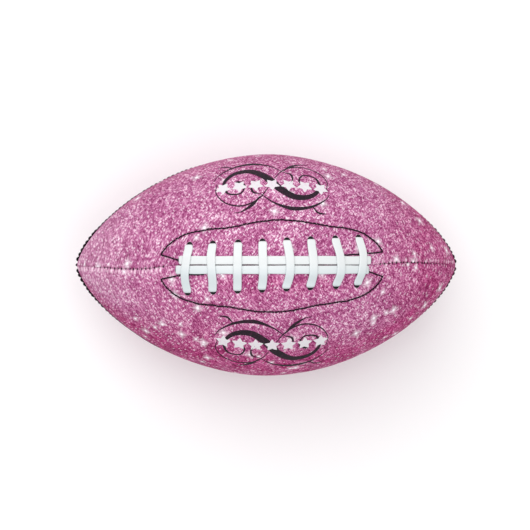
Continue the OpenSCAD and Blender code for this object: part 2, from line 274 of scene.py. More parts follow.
class Shader:
    """A material whose nodes are added one by one; an input is a number, a colour or an output."""

    def __init__(self, name, **surface):
        self.material = bpy.data.materials.new(name)
        self.material.use_nodes = True
        self.tree = self.material.node_tree
        self.surface = self.tree.nodes["Principled BSDF"]
        for key, value in surface.items():
            self.surface.inputs[key.replace("_", " ")].default_value = value

    def add(self, kind, inputs, output=0, **settings):
        node = self.tree.nodes.new("ShaderNode" + kind)
        for key, value in settings.items():
            setattr(node, key, value)
        for key, value in inputs.items():
            self.put(node.inputs[key], value)
        return node.outputs[output]

    def put(self, socket, value):
        if isinstance(value, bpy.types.NodeSocket):
            self.tree.links.new(value, socket)
        else:
            socket.default_value = value

    def math(self, what, a, b, clamp=False):
        return self.add("Math", {0: a, 1: b}, operation=what, use_clamp=clamp)

    def times(self, a, b, clamp=False):
        return self.math("MULTIPLY", a, b, clamp)

    def mix(self, factor, a, b, blend="MIX"):
        return self.add("Mix", {0: factor, 6: a, 7: b}, 2, data_type="RGBA", blend_type=blend)

    def spread(self, value, low, high, to_low=0.0, to_high=1.0, soft=True):
        return self.add("MapRange", {0: value, 1: low, 2: high, 3: to_low, 4: to_high},
                        interpolation_type="SMOOTHSTEP" if soft else "LINEAR")

    def print_place(self, turn=0.0, shift=(0, 0, 0), stretch=1.0):
        """The print's own flat coordinates, in mm, turned, and drawn out along the turned axis."""
        uv = self.add("UVMap", {}, uv_map="print_mm")
        turned = self.add("Mapping", {0: uv, 1: shift, 2: (0, 0, turn)})
        if stretch == 1:
            return turned
        return self.add("Mapping", {0: turned, 3: (1 / stretch, stretch, 1)})

    def body_place(self):
        """Coordinates in the ball's frame, in mm."""
        return self.add("Mapping", {0: self.add("TexCoord", {}, 3), 3: (1 / MM,) * 3})

    def noise(self, place, size, detail):
        return self.add("TexNoise", {"Vector": place, "Scale": 1 / size, "Detail": detail})

    def cells(self, place, size, output=0, feature="F1", flat=True, power=None):
        inputs = {"Vector": place, "Scale": 1 / size}
        if power:
            inputs["Exponent"] = power
        return self.add("TexVoronoi", inputs, output, feature=feature,
                        distance="MINKOWSKI" if power else "EUCLIDEAN",
                        voronoi_dimensions="2D" if flat else "3D")

    def draw(self, place, size, flat=True):
        """A random number from 0 to 1 for each cell."""
        return self.add("SeparateColor", {0: self.cells(place, size, 1, flat=flat)})

    def ramp(self, factor, stops):
        result = self.add("ValToRGB", {0: factor})
        elements = result.node.color_ramp.elements
        while len(elements) < len(stops):
            elements.new(0.5)
        for element, (place, colour) in zip(elements, stops):
            element.position = place
            element.color = (*colour, 1)
        return result

    def bump(self, height, distance, strength):
        """A bump of a given height in mm. Bumps stack: each one starts from the last."""
        inputs = {"Height": height, "Distance": distance * MM, "Strength": strength}
        normal = self.surface.inputs["Normal"]
        if normal.is_linked:
            inputs["Normal"] = normal.links[0].from_socket
        self.put(normal, self.add("Bump", inputs))

    def colour(self, value):
        self.put(self.surface.inputs["Base Color"], value)

    def rough(self, value):
        self.put(self.surface.inputs["Roughness"], value)


def glitter_print():
    shader = Shader("glitter_print", Roughness=0.7, Specular_IOR_Level=0.04)
    flat = shader.print_place()

    # grains: each cell of the print has its own shade, in two sizes, drawn out two ways
    fine = shader.draw(shader.print_place(turn=-0.9, stretch=1.5), 0.85)
    coarse = shader.draw(shader.print_place(turn=0.7, shift=(31.7, 12.9, 0), stretch=1.4), 1.25)
    patches = shader.spread(shader.noise(flat, 20, 3), 0.3, 0.7, -0.09, 0.09)
    clumps = shader.spread(shader.noise(flat, 4.5, 2), 0.3, 0.7, -0.06, 0.06)
    shade = shader.times(fine, 0.72)
    shade = shader.math("ADD", shade, shader.times(coarse, 0.32))
    shade = shader.math("ADD", shade, shader.math("ADD", patches, clumps))
    shade = shader.math("ADD", shade, -0.02)
    colour = shader.ramp(shade, [
        (0.00, (0.2, 0.026, 0.1)), (0.3, (0.325, 0.066, 0.188)), (0.52, (0.465, 0.138, 0.298)),
        (0.74, (0.615, 0.27, 0.445)), (0.9, (0.79, 0.51, 0.65)), (1.00, (0.915, 0.76, 0.845)),
    ])

    # painted shade: the ground is deeper in places, most of all towards the side seams, where the
    # ball turns from the light; below zero it is painted paler instead, a painted highlight
    deep = shader.add("Attribute", {}, 2, attribute_name="painted_shading")
    pale = shader.times(deep, -0.22, clamp=True)
    colour = shader.mix(pale, colour, (0.95, 0.76, 0.87, 1))
    ragged = shader.spread(shader.noise(flat, 13, 3), 0.35, 0.65, 0.65, 1.0)
    deep = shader.times(deep, ragged, clamp=True)
    colour = shader.mix(deep, colour, (0.8, 0.22, 0.5, 1), "MULTIPLY")

    # painted light along the lace seam: one side of the puckers gets a painted highlight, the other
    # a painted shade
    tone = shader.add("Attribute", {}, 2, attribute_name="seam_painted_light")
    painted_highlight = shader.spread(tone, 0.0, 1.0, 0.0, 0.8, soft=False)
    colour = shader.mix(painted_highlight, colour, (0.9, 0.66, 0.78, 1))
    deep = shader.spread(tone, 0.0, -1.0, 0.0, 0.8, soft=False)
    colour = shader.mix(deep, colour, (0.16, 0.02, 0.07, 1))

    # small bright flecks
    place = shader.print_place(turn=0.9, shift=(5.3, 77.1, 0), stretch=1.5)
    chosen = shader.math("LESS_THAN", shader.draw(place, 3.4), 0.42)
    fleck = shader.times(shader.spread(shader.cells(place, 3.4), 0.27, 0.1), chosen)
    colour = shader.mix(shader.times(fleck, 0.62), colour, (0.93, 0.76, 0.86, 1))

    # rarer soft sparkles: a white heart, a faint cross of rays and a pale haze round them
    for turn, shift, size, chance in ((0.2, (3, 9, 0), 16.0, 0.2), (0.9, (41, 23, 0), 11.0, 0.07)):
        place = shader.print_place(turn=turn, shift=shift)
        heart = shader.cells(place, size)
        rays = shader.spread(shader.cells(place, size, power=0.5), 0.62, 0.1)
        haze = shader.times(shader.spread(heart, 0.32, 0.04), 0.3)
        lit = shader.math("MAXIMUM", shader.spread(heart, 0.14, 0.02),
                          shader.times(rays, 0.5))
        lit = shader.math("MAXIMUM", lit, haze)
        chosen = shader.math("LESS_THAN", shader.draw(place, size), chance)
        lit = shader.times(lit, chosen)
        colour = shader.mix(lit, colour, (0.95, 0.89, 0.94, 1))

    shader.colour(colour)
    shader.rough(shader.spread(shade, 0.1, 0.9, 0.68, 0.48))
    # the fine pebble of a composite cover
    pebble = shader.cells(flat, 1.5, feature="SMOOTH_F1")
    shader.bump(shader.times(pebble, -1.0), 0.1, 0.35)
    shader.bump(shader.noise(flat, 0.45, 3), 0.03, 0.3)
    return shader.material


def ink(name, colour, worn):
    """Printed ink, with a little of the print's shade showing through at some grains."""
    shader = Shader(name, Roughness=0.6, Specular_IOR_Level=0.1)
    place = shader.body_place()
    speckle = shader.spread(shader.draw(place, 0.9, flat=False), 0.55, 1.0, 0.0, 0.55)
    shader.colour(shader.mix(speckle, (*colour, 1), (*worn, 1)))
    shader.bump(shader.noise(place, 0.5, 3), 0.03, 0.3)
    return shader.material


def lace_material():
    shader = Shader("white_lace", Roughness=0.42)
    place = shader.body_place()
    cloud = shader.noise(place, 22, 3)
    fine = shader.noise(place, 0.7, 3)
    colour = shader.ramp(cloud, [(0.3, (0.695, 0.725, 0.732)), (0.7, (0.74, 0.76, 0.765))])
    # painted shade: the lace is made greyer towards -Y, the side turned away from the key light
    right = shader.spread(shader.add("SeparateXYZ", {0: place}, 1), 3, -9, 0, 1)
    colour = shader.mix(right, colour, (0.83, 0.88, 0.9, 1), "MULTIPLY")       # painted shade
    soil = shader.spread(fine, 0.55, 0.8, 0, 0.12)
    shader.colour(shader.mix(soil, colour, (0.56, 0.59, 0.6, 1)))
    shader.rough(shader.spread(fine, 0.3, 0.7, 0.38, 0.5))
    shader.bump(fine, 0.03, 0.35)
    shader.bump(shader.cells(place, 1.1, feature="SMOOTH_F1", flat=False), 0.03, 0.25)
    return shader.material


def fibrous(name, size, dark, light, depth, strength, **surface):
    """Thread, or the cover's backing where it is cut, between two stops of a colour ramp."""
    shader = Shader(name, **surface)
    fibre = shader.noise(shader.body_place(), size, 4)
    shader.colour(shader.ramp(fibre, [dark, light]))
    shader.bump(fibre, depth, strength)
    return shader.material


def rubber(name, low, high, roughness):
    shader = Shader(name, Roughness=roughness)
    place = shader.body_place()
    dust = shader.noise(place, 1.6, 4)
    shader.colour(shader.ramp(dust, [(0.35, low), (0.75, high)]))
    shader.rough(shader.spread(dust, 0.3, 0.7, roughness - 0.08, roughness + 0.1))
    shader.bump(shader.noise(place, 0.4, 3), 0.03, 0.4)
    return shader.material


def cloth(name, dark, light, pitch):
    """Plain-woven backing cloth."""
    shader = Shader(name, Roughness=0.9, Sheen_Weight=0.2)
    place = shader.body_place()
    thread = {"Vector": place, "Scale": 0.314 / pitch, "Distortion": 0.4}
    warp = shader.add("TexWave", thread, 1, bands_direction="X")
    weft = shader.add("TexWave", thread, 1, bands_direction="Y")
    weave = shader.math("MAXIMUM", warp, weft)
    shader.colour(shader.ramp(weave, [(0.2, dark), (0.9, light)]))
    shader.bump(weave, 0.15, 0.6)
    return shader.material


GLITTER = glitter_print()
WHITE_INK = ink("white_ink", (0.74, 0.71, 0.74), (0.72, 0.56, 0.66))
BLACK_INK = ink("black_ink", (0.02, 0.014, 0.02), (0.075, 0.02, 0.048))
THREAD = fibrous("black_thread", 0.16, (0.3, (0.004, 0.003, 0.005)), (0.75, (0.022, 0.016, 0.022)),
                 0.05, 0.6, Roughness=0.75, Specular_IOR_Level=0.08)
LACE = lace_material()
RAW_EDGE = fibrous("raw_edge", 0.35, (0.3, (0.22, 0.2, 0.22)), (0.7, (0.5, 0.47, 0.49)),
                   0.08, 0.7, Roughness=0.85)
BACKING = fibrous("black_backing", 0.35, (0.3, (0.006, 0.006, 0.008)), (0.7, (0.035, 0.03, 0.035)),
                  0.08, 0.7, Roughness=0.85)
BLADDER_RUBBER = rubber("bladder_rubber", (0.012, 0.012, 0.014), (0.05, 0.05, 0.052), 0.6)
VALVE_RUBBER = rubber("valve_rubber", (0.018, 0.018, 0.02), (0.07, 0.068, 0.07), 0.5)
CORE_RUBBER = rubber("core_rubber", (0.2, 0.09, 0.045), (0.34, 0.17, 0.09), 0.55)
LINING_CLOTH = cloth("lining_cloth", (0.42, 0.4, 0.35), (0.74, 0.71, 0.64), 0.9)
WING_CLOTH = cloth("wing_cloth", (0.05, 0.05, 0.055), (0.18, 0.18, 0.19), 0.8)


# ---- the cover ----

LACE_SEAM, LEFT_SEAM, BOTTOM_SEAM, RIGHT_SEAM = 0, 1, 2, 3
PANEL_WIDTH = QUARTER * WAIST_R      # from seam to seam round the waist
EDGE_ZONE = 9.0                      # what a seam shapes on each side of it
RING_STEP = 0.75
PRINTED, CUT, UNDER = 0, 1, 2        # the cover's materials

# From the bottom of the turned edge up over the shoulder: distance from the seam, height where
# the slit is open, height where a seam is drawn shut
EDGE = np.array([
    (0.05, -4.0, -4.0), (0.05, -2.8, -2.0), (0.08, -1.9, -0.62), (0.16, -1.3, -0.46),
    (0.3, -0.92, -0.38), (0.5, -0.64, -0.31), (0.75, -0.43, -0.25), (1.05, -0.27, -0.19),
    (1.4, -0.16, -0.13), (1.85, -0.08, -0.09), (2.4, -0.03, -0.05), (3.0, 0, -0.02), (3.8, 0, 0),
    (4.8, 0, 0), (6.0, 0, 0), (7.4, 0, 0), (EDGE_ZONE, 0, 0),
])


def edge_height(seam, x, d=None):
    """Height of the turned edge at distance d from a seam, or at each place of EDGE."""
    shut = smooth((np.abs(x) - SLIT_END) / 6) if seam == LACE_SEAM else 1 + 0 * x
    places, left_open, drawn_shut = EDGE.T
    if d is not None:
        d = np.clip(d, 0.06, None)
        left_open = np.interp(d, places[1:], left_open[1:])
        drawn_shut = np.interp(d, places[1:], drawn_shut[1:])
    return left_open * (1 - shut) + drawn_shut * shut


def seam_shift(x):
    """How far the lace seam wanders from its line, past the ends of the slit."""
    far = np.abs(x)
    most = np.where(x > 0, 1.9, -3.0)
    return most * smooth((far - SLIT_END) / 32) * (1 - 0.62 * smooth((far - 100) / 42))


def nose_scale(width):
    """Seam details shrink towards the noses, where the panels are narrow."""
    return np.minimum(1, width / 60)


def wing_outer(x, side):
    t = np.minimum(1, np.abs(x) / WING_HALF_LEN)
    peak = np.exp(-(np.abs(x - 2 - 2 * side) / WING_BUMP_LEN) ** 2.6)
    lean = (WING_LEAN * x - WING_DRIFT) * (1 - t ** 4)
    lean = lean + (WING_TIP_LEAN * x - WING_TIP_DRIFT) * t ** 4
    return (WING_SHOULDER + (WING_REACH - WING_SHOULDER - WING_BUMP) * (1 - t ** 5.5) ** 0.85
            + WING_BUMP * peak + side * lean)


# How each wing's stitching turns back from its tip to the slit: places (x, q)
WING_RETURN = {
    (1, -1): [(-68.4, 3.6), (-64, 3.0)],
    (1, 1): [(67.6, 8.4), (58, 7.4), (50, 6.9)],
    (-1, -1): [(-68.4, 7.5), (-60, 7.0), (-47, 6.9)],
    (-1, 1): [(73.6, 6.2), (66, 3.6)],
}


def wing_inner(x, side):
    """Distance of a wing's inner side from the slit."""
    inner = 0 * x
    for end in (-1, 1):
        tip = (end * WING_HALF_LEN, wing_outer(end * WING_HALF_LEN, side))
        places = sorted([(end * x0, q0) for x0, q0 in WING_RETURN[side, end] + [tip]])
        at = np.interp(end * x, *zip(*places), left=0)
        inner = np.maximum(inner, at * (end * x > 0))
    return inner


def wing_line(side):
    """The stitched outline as points (x, q) at an even step, q at least 0, and how far along."""
    turn = np.linspace(QUARTER, -QUARTER, 400)
    outer = [(x, wing_outer(x, side)) for x in WING_HALF_LEN * np.sin(turn)]
    x, q = np.array(WING_RETURN[side, 1][::-1] + outer + WING_RETURN[side, -1]).T
    waver = 0.22 * wave(x / 23, 11 + side) + 0.1 * wave(x / 7, 31 + side)
    q = q + smooth((76 - np.abs(x)) / 6) * waver
    length = distances(on_ball(x, side * q))
    even = np.linspace(0, length[-1], int(length[-1] / 0.5))
    return np.stack([np.interp(even, length, values) for values in (x, q)], 1), even


# Where each cross strap runs beside its holes' line: x at the holes and 10 mm from the slit on
# the left, over the slit, and the same two on the right
BAR_WAY = (
    (0.2, -0.5, -1.4, -2.3, -1.2), (-0.6, -1.1, -0.9, -0.4, -0.4), (0.1, 0.1, 0.0, -0.1, -0.3),
    (0.2, 0.3, 0.45, 0.5, -0.2), (0.4, 1.5, 2.2, 1.5, 0.0), (0.4, 1.0, 1.5, 1.1, 0.0),
    (1.1, 2.9, 3.9, 3.3, 1.6), (1.3, 3.0, 2.7, 1.3, -0.1),
)


def bar_x(i):
    return -HALF_ROW_LEN + LACE_PITCH * i + ROW_DRIFT


def hole_x(i, side):
    """A hole is where its strap's end is, a little out of the even row."""
    return bar_x(i) + BAR_WAY[i][0 if side > 0 else -1]


# The rails' holes aren't quite opposite each other: how far out of place, by side and end
RAIL_HOLE_SHIFT = {(1, -1): -3.2, (-1, -1): -1.0, (1, 1): 0.4, (-1, 1): -1.2}


def rail_hole_x(side, end):
    return end * (RAIL_HOLE_X + RAIL_HOLE_SHIFT[side, end])


def hole_q(x, side):
    return HOLE_ROW + side * ROW_LEAN * x


def lace_holes(side):
    """The holes (x, q, radius) on one side of the slit."""
    rows = [(hole_x(i, side), hole_q(bar_x(i), side), HOLE_R) for i in range(LACE_COUNT)]
    return rows + [(rail_hole_x(side, end), RAIL_Q, HOLE_R) for end in (-1, 1)]


def near_line(x, q, line):
    """Distance from each (x, q) to a dense line of (x, q)."""
    nearest = np.full(x.shape, np.inf)
    for line_x, line_q in line:
        nearest = np.minimum(nearest, np.hypot(x - line_x, q - line_q))
    return nearest


def pulled_in(seam, arc):
    """1 where a stitch draws the seam in, 0 half way between stitches."""
    phase = arc / SEAM_PITCH + SEAM_WANDER * wave(arc / 17, seam) + 0.25 * (seam % 2)
    return (0.5 + 0.5 * np.cos(2 * math.pi * phase)) ** 1.6


def pucker(seam, arc, d, k):
    """The stitches draw each seam in, and the cover ridges up between them."""
    pulled = pulled_in(seam, arc)
    if seam == LACE_SEAM:
        pulled = pulled * smooth((np.abs(arc) - 76) / 6)
    deep = 0.85 + 0.3 * wave(arc / 9, seam + 40)
    near = bell(d / k - 0.35, 1.4) * 0.7 + bell(d, 3.4 * k) * 0.25
    slack = bell(d, 6 * k) * (0.1 + 0.1 * wave(arc / 21, seam + 80))
    return -k * (pulled * deep * near + slack)


# Painted shade, deeper print on the right half: x, how far down in panels, the reach in each, how
# much
PAINTED_SHADE_PLACES = [(-52, 0.42, 34, 0.2, 0.3), (2, 0.09, 52, 0.06, 0.45), (-75, 0.9, 45, 0.25, 0.4),
               (25, 0.5, 95, 0.6, 0.13)]
# The cover's columns of points are closer together where there are holes
COARSE_STEP = 2.6
FINE_STEP = 0.6


class Panel:
    """One of the four cover panels. Its near seam is at angle start, and side is the way round
    from there to its far seam. Upper panels start at the lace seam."""

    def __init__(self, corner, start, side, seams, seed):
        self.corner, self.start, self.side = corner, start, side
        self.seams, self.seed = seams, seed
        self.upper = start == 0
        self.holes = []
        if self.upper:
            self.holes = lace_holes(side)
            self.outline, _ = wing_line(side)
        elif corner == "lower_left":
            self.holes = [(0.0, PANEL_WIDTH / 2, VALVE_HOLE_R)]

    def angle(self, w, q):
        """Angle round the ball of points q from the near seam, as the seam wanders."""
        moved = self.side * q
        if self.upper:
            moved = moved + seam_shift(x_at(w)) * (1 - smooth(q / 30))
        return self.start + moved / (WAIST_R * share(w))

    def painted_shading(self, w, q):
        """Painted shade on the print's ground, from 1, to pale at -1 (painted light): deeper
        towards the lower side and the right-hand nose, paler at the left-hand nose.
        """
        x, width = x_at(w), PANEL_WIDTH * share(w)
        down = (q if self.upper else width + q) / np.maximum(width, 1)      # 2 at the bottom seam
        side_on, first = (0.55, 0.5) if self.side > 0 else (1.15, 0.36)
        depth = side_on * smooth((down - first) / 0.42) * (1 - 0.5 * smooth((down - 1.2) / 0.8))
        # painted shade deeper at the right-hand nose, and painted light paler at the left-hand nose
        depth = depth + 0.85 * smooth((x - 64) / 66) - 0.38 * smooth((-x - 92) / 36)
        if self.side < 0:
            for at_x, at, long, wide, more in PAINTED_SHADE_PLACES:
                depth = depth + more * bell(x - at_x, long) * bell(down - at, wide)
        return np.clip(depth, -1, 1)

    def seam_painted_light(self, w, q):
        """Painted highlight (towards 1) and painted shade (towards -1) on the print beside the lace
        seam.
        """
        if not self.upper:
            return 0 * q
        x, arc = x_at(w), arc_of(w)
        pulled = pulled_in(LACE_SEAM, arc)
        # painted highlight on the ridges between the stitches, on one side of the seam
        pale = (self.side * x > 0) * np.where(x > 0, 0.45, 1.0) * (1 - pulled) ** 2 * 1.7
        pale = pale * bell(q - 1.9, 1.4)
        # painted shade in the pulled-in pits on the other side
        dark = (self.side * x < 0) * (0.25 + pulled) * bell(q - 0.7, 0.7)
        patchy = 0.6 + 0.5 * wave(arc / 13, 77 + self.seed)
        return np.clip((pale - dark) * patchy, -1, 1) * smooth((np.abs(x) - 74) / 5)

    def height(self, w, q, edge=True):
        """Height of the cover over the plain surface at q from the near seam."""
        x, arc = x_at(w), arc_of(w)
        width = PANEL_WIDTH * share(w)
        k = np.maximum(nose_scale(width), 1e-4)
        far = width - q
        h = 0
        for seam, d in zip(self.seams, (q, far)):
            h = h + pucker(seam, arc, d, k)
            if edge:
                h = h + edge_height(seam, x, d / k) * k
        # the cover isn't quite fair between the seams
        away = smooth(np.minimum(q, far) / 18)
        if self.upper:
            away = away * (1 - (1 - smooth((np.abs(x) - 84) / 12)) * (1 - smooth((q - 36) / 8)))
        rng = np.random.default_rng(self.seed)
        for _ in range(5):
            swing = rng.uniform(45, 110)
            turn = rng.uniform(0, math.pi)
            across = (arc * math.cos(turn) + q * math.sin(turn)) / swing * 2 * math.pi
            h = h + 0.085 * away * np.sin(across + rng.uniform(0, 6.28))
        if self.upper:
            h = h + self.wing_height(x, q)
        return h

    def wing_height(self, x, q):
        """A wing stands up a little inside its stitched groove, and its holes are drawn in."""
        x, q = np.broadcast_arrays(x, q)
        h = np.zeros(x.shape)
        close = (np.abs(x) < WING_HALF_LEN + 4) & (q < WING_REACH + 6)
        x, q = x[close], q[close]
        gap = near_line(x, q, self.outline)
        inside = (np.abs(x) < WING_HALF_LEN) & (q < wing_outer(x, self.side))
        inside &= q > wing_inner(x, self.side)
        rise = np.where(inside, 0.2 * smooth((gap - 0.2) / 2.4), 0)
        drawn = -0.26 * bell(gap, 0.8) - 0.1 * bell(gap, 2.2)
        where = on_ball(x, q)
        for hx, hq, radius in self.holes:
            rim = np.linalg.norm(where - on_ball(hx, hq), axis=-1) - radius
            drawn = drawn - 0.4 * bell(np.maximum(rim, 0), 1.5)
        h[close] = rise + drawn
        return h

    def points(self, w, q, h):
        """Rows of (x, y, z, u, v, seam painted light, painted print shade). In the print, u is
        along the panel, and v from its middle towards its side seam, 200 mm on from the last
        panel's."""
        q = q + 0 * w
        away = (q - PANEL_WIDTH * share(w) / 2) * (1 if self.upper else -1) + 200 * self.seed
        others = (arc_of(w) + 0 * q, away, self.seam_painted_light(w, q), self.painted_shading(w, q))
        rows = np.concatenate([skin(w, self.angle(w, q), h), np.stack(others, -1)], -1)
        return rows.reshape(-1, 7)

    def columns(self):
        """Places between the two edge zones."""
        middle = PANEL_WIDTH / 2
        first, last = (EDGE_ZONE, 38) if self.upper else (middle - 7, middle + 7)
        places = [EDGE_ZONE]
        while places[-1] < PANEL_WIDTH - EDGE_ZONE - COARSE_STEP:
            q = places[-1]
            step = FINE_STEP if self.holes and first - 0.1 <= q < last else COARSE_STEP
            places.append(min(q + step, first) if q < first - 0.1 else q + step)
        return np.array(places[1:])

    def build(self):
        w = station_at(np.linspace(-HALF_ARC, HALF_ARC, int(2 * HALF_ARC / RING_STEP)))[:, None]
        x, width = x_at(w), PANEL_WIDTH * share(w)
        k = nose_scale(width)
        near, middle = EDGE[None, :, 0], self.columns()[None, :]
        fraction = (middle - EDGE_ZONE) / (PANEL_WIDTH - 2 * EDGE_ZONE)
        q = np.concatenate([near * k, EDGE_ZONE * k + fraction * (width - 2 * EDGE_ZONE * k),
                            width - near[:, ::-1] * k], 1)
        h = self.height(w, q, edge=False)
        h[:, :len(EDGE)] += edge_height(self.seams[0], x) * k
        h[:, -len(EDGE):] += edge_height(self.seams[1], x)[:, ::-1] * k
        # under the cover: a coarse inner face from turned edge to turned edge
        inner_q = np.concatenate([[1.7, 1.9, 2.6], np.linspace(8, PANEL_WIDTH - 8, 14),
                                  PANEL_WIDTH - np.array([2.6, 1.9, 1.7])])[None, ::-1]
        inner_h = np.full(inner_q.shape, -COVER_T - 0.02)
        inner_h[0, 0] = inner_h[0, -1] = -4.0
        inner_h[0, 1] = inner_h[0, -2] = -2.4
        outer = q.shape[1]
        q = np.concatenate([q, inner_q / PANEL_WIDTH * width], 1)
        h = np.concatenate([h, inner_h * k], 1)
        rings, columns = q.shape
        rows = self.points(w, q, h)
        skip, hole_faces, hole_kinds = set(), [], []
        for hole in self.holes:
            cells, points, patch_faces, patch_kinds = self.hole_patch(
                hole, x[:, 0], q[:, :outer], columns, len(rows))
            skip |= cells
            rows = np.concatenate([rows, points])
            hole_faces += patch_faces
            hole_kinds += patch_kinds
        faces = ring_faces(rings, columns, skip)
        kinds = [PRINTED if face[0] % columns < outer - 1 else UNDER for face in faces]
        kinds[-2:] = PRINTED, PRINTED
        faces += hole_faces
        if self.side > 0:
            faces = [face[::-1] for face in faces]
        mesh = piece(self.corner + "_panel_cover", (rows[:, :3], faces),
                     [GLITTER, RAW_EDGE, BACKING], "printed_cover", self.corner + "_panel")
        mesh.polygons.foreach_set("material_index", np.array(kinds + hole_kinds, np.int32))
        corners = np.empty(len(mesh.loops), np.int32)
        mesh.loops.foreach_get("vertex_index", corners)
        flat = rows[:, 3:5].astype(np.float32)
        mesh.uv_layers.new(name="print_mm").data.foreach_set("uv", flat[corners].ravel())
        for key, values in (("seam_painted_light", rows[:, 5]), ("painted_shading", rows[:, 6])):
            layer = mesh.attributes.new(key, "FLOAT", "POINT")
            layer.data.foreach_set("value", values.astype(np.float32))

    def hole_patch(self, hole, x_ring, q, columns, first):
        """What fits a round hole into the grid, with a bevelled lip and a wall: the cells it
        takes the place of, its points, its faces and their materials."""
        hx, hq, radius = hole
        stretch = np.linalg.norm(on_ball(hx + 0.5, hq) - on_ball(hx - 0.5, hq))
        reach = radius + 1.5
        rows = np.where(np.abs(x_ring - hx) * stretch < reach)[0]
        i0, i1 = rows[0], rows[-1]
        across = q[(i0 + i1) // 2]
        spans = np.where((across > max(hq - reach, 0.45)) & (across < hq + reach))[0]
        j0, j1 = spans[0], spans[-1]
        cells = {(i, j) for i in range(i0, i1) for j in range(j0, j1)}
        loop = [(i0, j) for j in range(j0, j1)] + [(i, j1) for i in range(i0, i1)]
        loop += [(i1, j) for j in range(j1, j0, -1)] + [(i, j0) for i in range(i1, i0, -1)]
        edge = np.array([(x_ring[i] - hx, q[i, j] - hq) for i, j in loop])
        round_way = np.arctan2(edge[:, 1], edge[:, 0] * stretch)
        ring = np.stack([np.cos(round_way) / stretch, np.sin(round_way)], 1)
        lip = ring * (radius + 0.3)
        rings = [(edge * (1 - t) + lip * t, 0.0, True) for t in (0.3, 0.6, 0.85, 1.0)]
        rings += [(ring * (radius + 0.1), -0.08, True), (ring * radius, -0.26, True)]
        rings += [(ring * radius, depth, False) for depth in (-0.9, -1.5, -COVER_T - 0.03)]
        n = len(loop)
        numbers = [[i * columns + j for i, j in loop]]
        points, faces, kinds = [], [], []
        for r, (offset, h, follow) in enumerate(rings):
            w, at = station_of(hx + offset[:, 0]), hq + offset[:, 1]
            points.append(self.points(w, at, self.height(w, at) + h if follow else h))
            numbers.append(range(first + r * n, first + (r + 1) * n))
            for v in range(n):
                m = (v + 1) % n
                faces.append([numbers[r][v], numbers[r][m], numbers[r + 1][m], numbers[r + 1][v]])
                kinds.append(PRINTED if r < 5 else CUT if r < 6 else UNDER)
        return cells, np.concatenate(points), faces, kinds


PANELS = [
    Panel("upper_left", 0.0, 1, (LACE_SEAM, LEFT_SEAM), 1),
    Panel("upper_right", 0.0, -1, (LACE_SEAM, RIGHT_SEAM), 2),
    Panel("lower_left", QUARTER, 1, (LEFT_SEAM, BOTTOM_SEAM), 3),
    Panel("lower_right", -QUARTER, -1, (RIGHT_SEAM, BOTTOM_SEAM), 4),
]
for panel in PANELS:
    panel.build()


# ---- stitches ----

def round_section(radius, sides, turn=0.0, lobes=0.0):
    """A thread's outline: two twisted plies make it a little oval, turning along the thread."""
    t = circle(sides)
    r = radius * (1 + lobes * np.cos(2 * (t - turn)))
    return np.stack([r * np.cos(t), r * np.sin(t)], 1)


def thread(path, lean, section):
    """A thread along a path on the ball, its outside turned outwards."""
    along = unit(np.gradient(path, axis=0))
    up = unit(path * np.array([lean, 1, 1]))
    return sweep(path, along, unit(np.cross(up, along)), section)


def stitch(path, radius, sides=8):
    """One stitch: a short twisted thread that thins where it dives in."""
    def section(i):
        t = i / (len(path) - 1)
        thin = 0.72 + 0.28 * math.sin(math.pi * t) ** 0.5
        return round_section(radius * thin, sides, turn=t * 3.4, lobes=0.1)
    return thread(path, 0.35, section)


def seam_stitches(word, angle, seam):
    """Stitches across a seam, all the way along it or only past the ends of the slit. They lie
    low along the ball's sides, and stand out where the seams are drawn in at the noses."""
    rng = random.Random(seam + 5)
    parts = []
    steps = int(HALF_ARC / SEAM_PITCH) + 1
    for n in range(-steps, steps + 1):
        # the stitch sits where the pucker is deepest
        arc = (n - 0.25 * (seam % 2)) * SEAM_PITCH
        arc -= SEAM_WANDER * SEAM_PITCH * wave(arc / 17, seam)
        if seam == LACE_SEAM and abs(arc) < 80 or abs(arc) > HALF_ARC - 2:
            continue
        w0 = station_at(arc)
        k = nose_scale(PANEL_WIDTH * share(w0))
        x0 = x_at(w0)
        if seam == LACE_SEAM:
            proud, bold, slant, half = -0.92, 0.9, 0.25, 0.9
        else:
            nose = seam_out(x0, seam)
            proud = -0.3 + 0.85 * nose + 0.15 * rng.uniform(-1, 1)
            tip = smooth((-x0 - 122) / 12)
            bold, slant, half = 1 + 0.75 * nose + 0.9 * tip, 1.1 + 0.25 * nose, 1.1
        half = half * (0.45 + 0.55 * k) * rng.uniform(0.9, 1.08)
        t = np.linspace(-1, 1, 9)
        w = station_at(arc + t * (slant + rng.uniform(-0.12, 0.12)))
        across = t * half + (seam_shift(x_at(w)) if seam == LACE_SEAM else 0)
        h = proud - 0.62 * np.abs(t) ** 2.5
        a = angle + across / (WAIST_R * share(w))
        parts.append(stitch(skin(w, a, h), THREAD_R * bold))
    if seam != LACE_SEAM:
        parts.append(seam_run(angle, seam))
    piece(word + "_seam_stitches", join(parts), [THREAD], "black_thread", word + "_seam_thread")


def seam_out(x, seam):
    """How far a side seam's thread stands out: most at the noses, and sewn looser at one corner."""
    loose = 0.65 * smooth((-x - 35) / 30) if seam == LEFT_SEAM else 0
    return max(loose, smooth((abs(x) - 98) / 34))


def seam_run(angle, seam):
    """The thread that runs along a seam under its stitches."""
    arc = np.arange(-HALF_ARC + 3, HALF_ARC - 3, 0.9)
    w = station_at(arc)
    x = x_at(w)
    low = {LEFT_SEAM: -0.12, RIGHT_SEAM: -0.75, BOTTOM_SEAM: -0.5}[seam]
    h = low + 0.12 * wave(arc / 40, seam + 7) + (0.15 - low) * smooth((np.abs(x) - 48) / 40)
    return thread(skin(w, angle, h), 0.3,
                  lambda i: round_section(0.34, 8, turn=i * 0.9, lobes=0.12))


